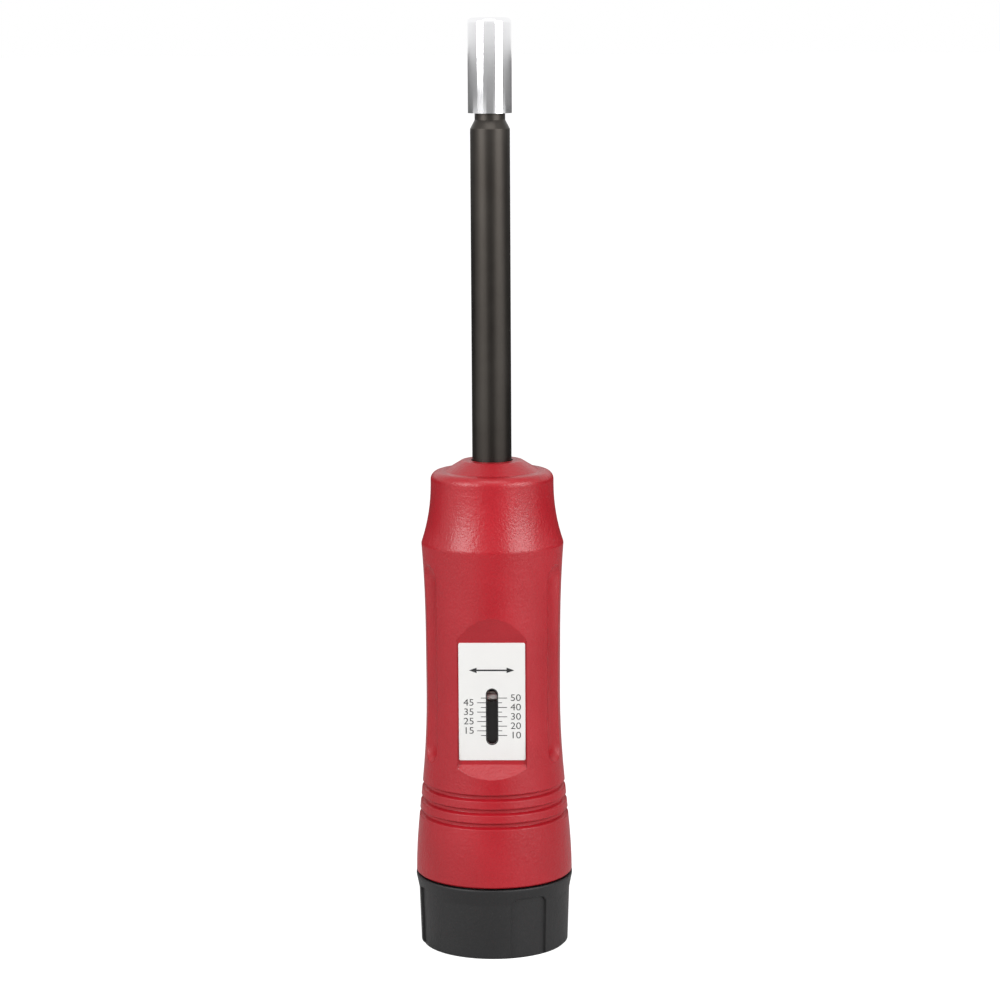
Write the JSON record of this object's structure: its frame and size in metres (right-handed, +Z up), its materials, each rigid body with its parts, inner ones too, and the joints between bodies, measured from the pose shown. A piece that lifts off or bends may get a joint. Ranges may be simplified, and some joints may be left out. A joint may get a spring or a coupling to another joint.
{
  "type": "torque screwdriver",
  "caption": "Adjustable torque screwdriver with a window scale in a red handle, a turning knob at its rear end and a magnetic hex bit sleeve on a long shaft.",
  "frame": {"origin": "centre of the knob's flat base, on the tool's long axis", "axes": "+Z runs up along the shaft to the bit socket, -Y is the side with the scale, +X is to the right of someone who reads the scale"},
  "size_m": [0.0384, 0.0384, 0.2256],
  "materials": {
    "red_plastic": "satin moulded red, finely pebbled",
    "label_film": "white printed film, dull",
    "black_plastic": "satin moulded black",
    "pointer_black": "plain black",
    "shaft_steel": "dark grey turned steel",
    "chrome_plate": "polished bright",
    "bright_steel": "ground and oiled",
    "hard_steel": "hardened, dark grey",
    "spring_steel": "drawn wire, pale",
    "bronze": "plain bearing bronze",
    "yellow_brass": "turned brass",
    "magnet": "nickel-plated magnet"
  },
  "bodies": {
    "housing": {"handle": "red_plastic", "scale_label": "label_film", "front_bush": "bronze", "clutch_thrust_washer": "bronze", "end_plug": "bright_steel", "screw_thrust_washer": "bronze", "collar_circlip": "hard_steel", "lock_spring": "spring_steel", "lock_spring_screw": "bright_steel", "main_spring": "spring_steel"},
    "spindle": {"shaft": "shaft_steel", "bit_sleeve": "chrome_plate", "bit_magnet": "magnet", "drive_disc": "hard_steel", "drive_pin": "bright_steel", "clutch_balls": "bright_steel"},
    "notched_plate": {"clutch_plate": "hard_steel"},
    "pointer_nut": {"pointer_carrier": "pointer_black", "adjusting_nut": "yellow_brass", "spring_seat": "bright_steel"},
    "screw": {"adjusting_screw": "bright_steel", "knob_screw": "bright_steel"},
    "knob_cup": {"knob": "black_plastic", "lock_ring": "hard_steel", "knob_cover": "black_plastic"}
  },
  "joints": [
    {"name": "spindle_turn", "type": "hinge", "parent": "housing", "child": "spindle", "pos_m": [0, 0, 0.11], "axis": [0, 0, 1], "continuous": true},
    {"name": "clutch_lift", "type": "slide", "parent": "housing", "child": "notched_plate", "axis": [0, 0, -1], "range_m": [0, 0.00115], "stiffness_N_per_m": 28800, "deforming": ["main_spring"]},
    {"name": "screw_turn", "type": "hinge", "parent": "housing", "child": "screw", "pos_m": [0, 0, 0.02], "axis": [0, 0, 1], "range_deg": [-2520, 360], "deforming": ["lock_spring"]},
    {"name": "nut_travel", "type": "slide", "parent": "housing", "child": "pointer_nut", "axis": [0, 0, 1], "range_m": [-0.00805, 0.00115], "deforming": ["main_spring"]},
    {"name": "knob_pull", "type": "slide", "parent": "screw", "child": "knob_cup", "axis": [0, 0, -1], "range_m": [0, 0.003], "deforming": ["lock_spring"]}
  ],
  "couplings": [
    {"joint": "screw_turn", "follows": "nut_travel", "rad_per_m": 5463.6}
  ]
}
